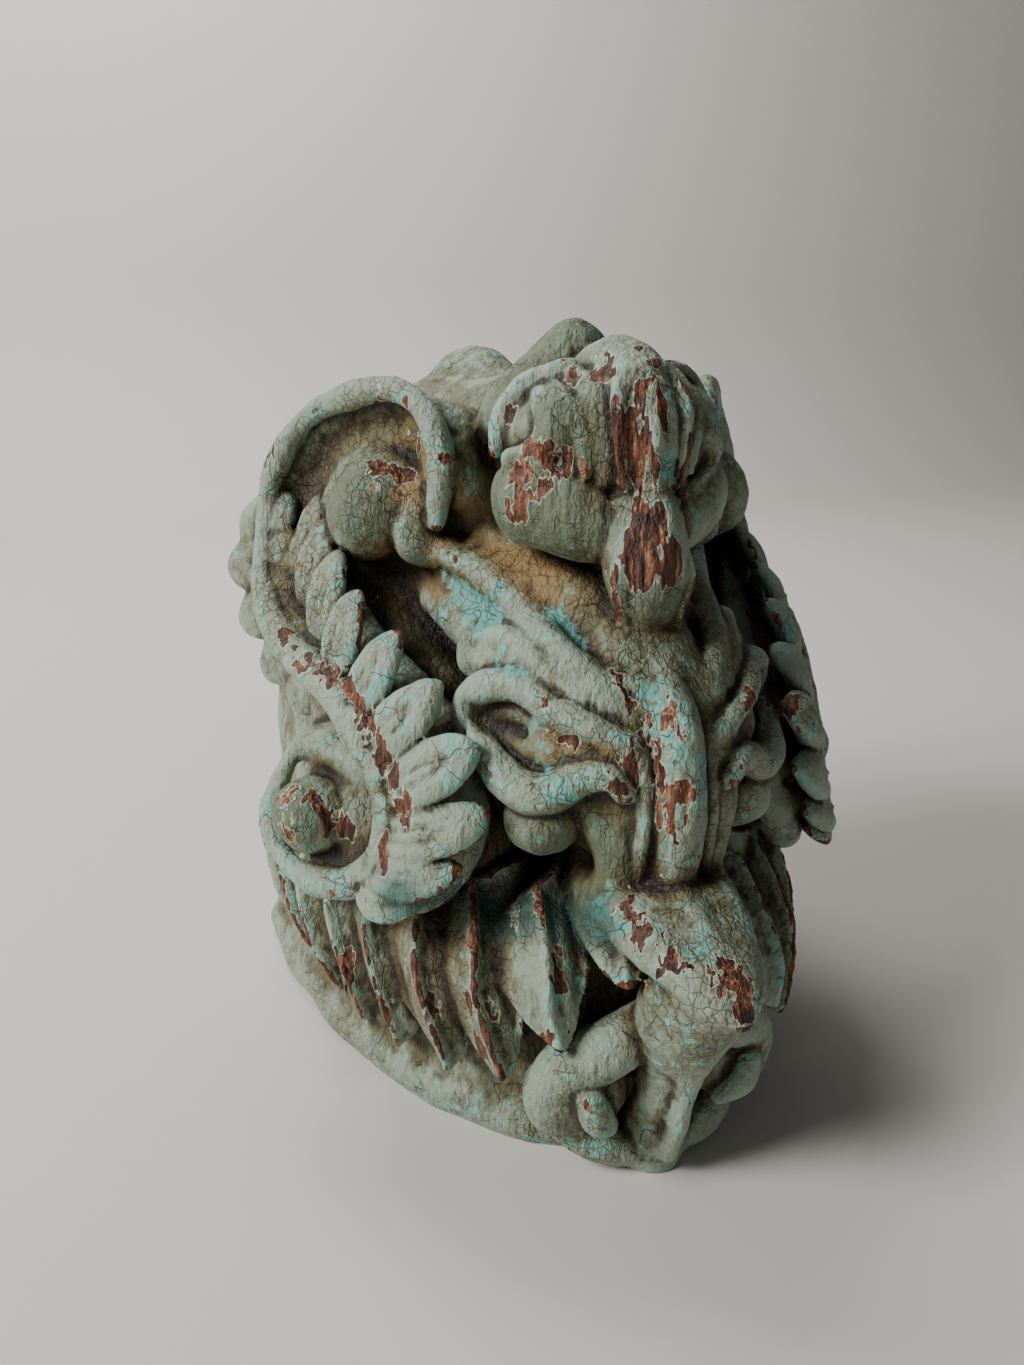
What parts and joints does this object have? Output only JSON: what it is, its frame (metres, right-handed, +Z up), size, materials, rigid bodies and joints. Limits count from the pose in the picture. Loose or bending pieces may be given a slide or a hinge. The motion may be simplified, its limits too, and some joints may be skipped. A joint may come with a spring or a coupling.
{
  "type": "carved wooden corbel",
  "caption": "Carved wooden corbel for a wall: bud-shaped head, leafy scroll on each flank, rounded front band and great leaf over a flat foot. Old verdigris paint, worn to red-brown wood.",
  "frame": {"origin": "fixing point in the middle of the flat wall face, 108 mm above the foot", "axes": "+X runs sideways, square to the mirror plane, +Y points into the wall, -Y is the front, +Z is up"},
  "size_m": [0.2114, 0.2269, 0.2559],
  "materials": {
    "painted_wood": "old verdigris-coloured paint, crackled and worn to red-brown carved wood"
  },
  "bodies": {
    "root": {"corbel": "painted_wood"}
  },
  "joints": []
}
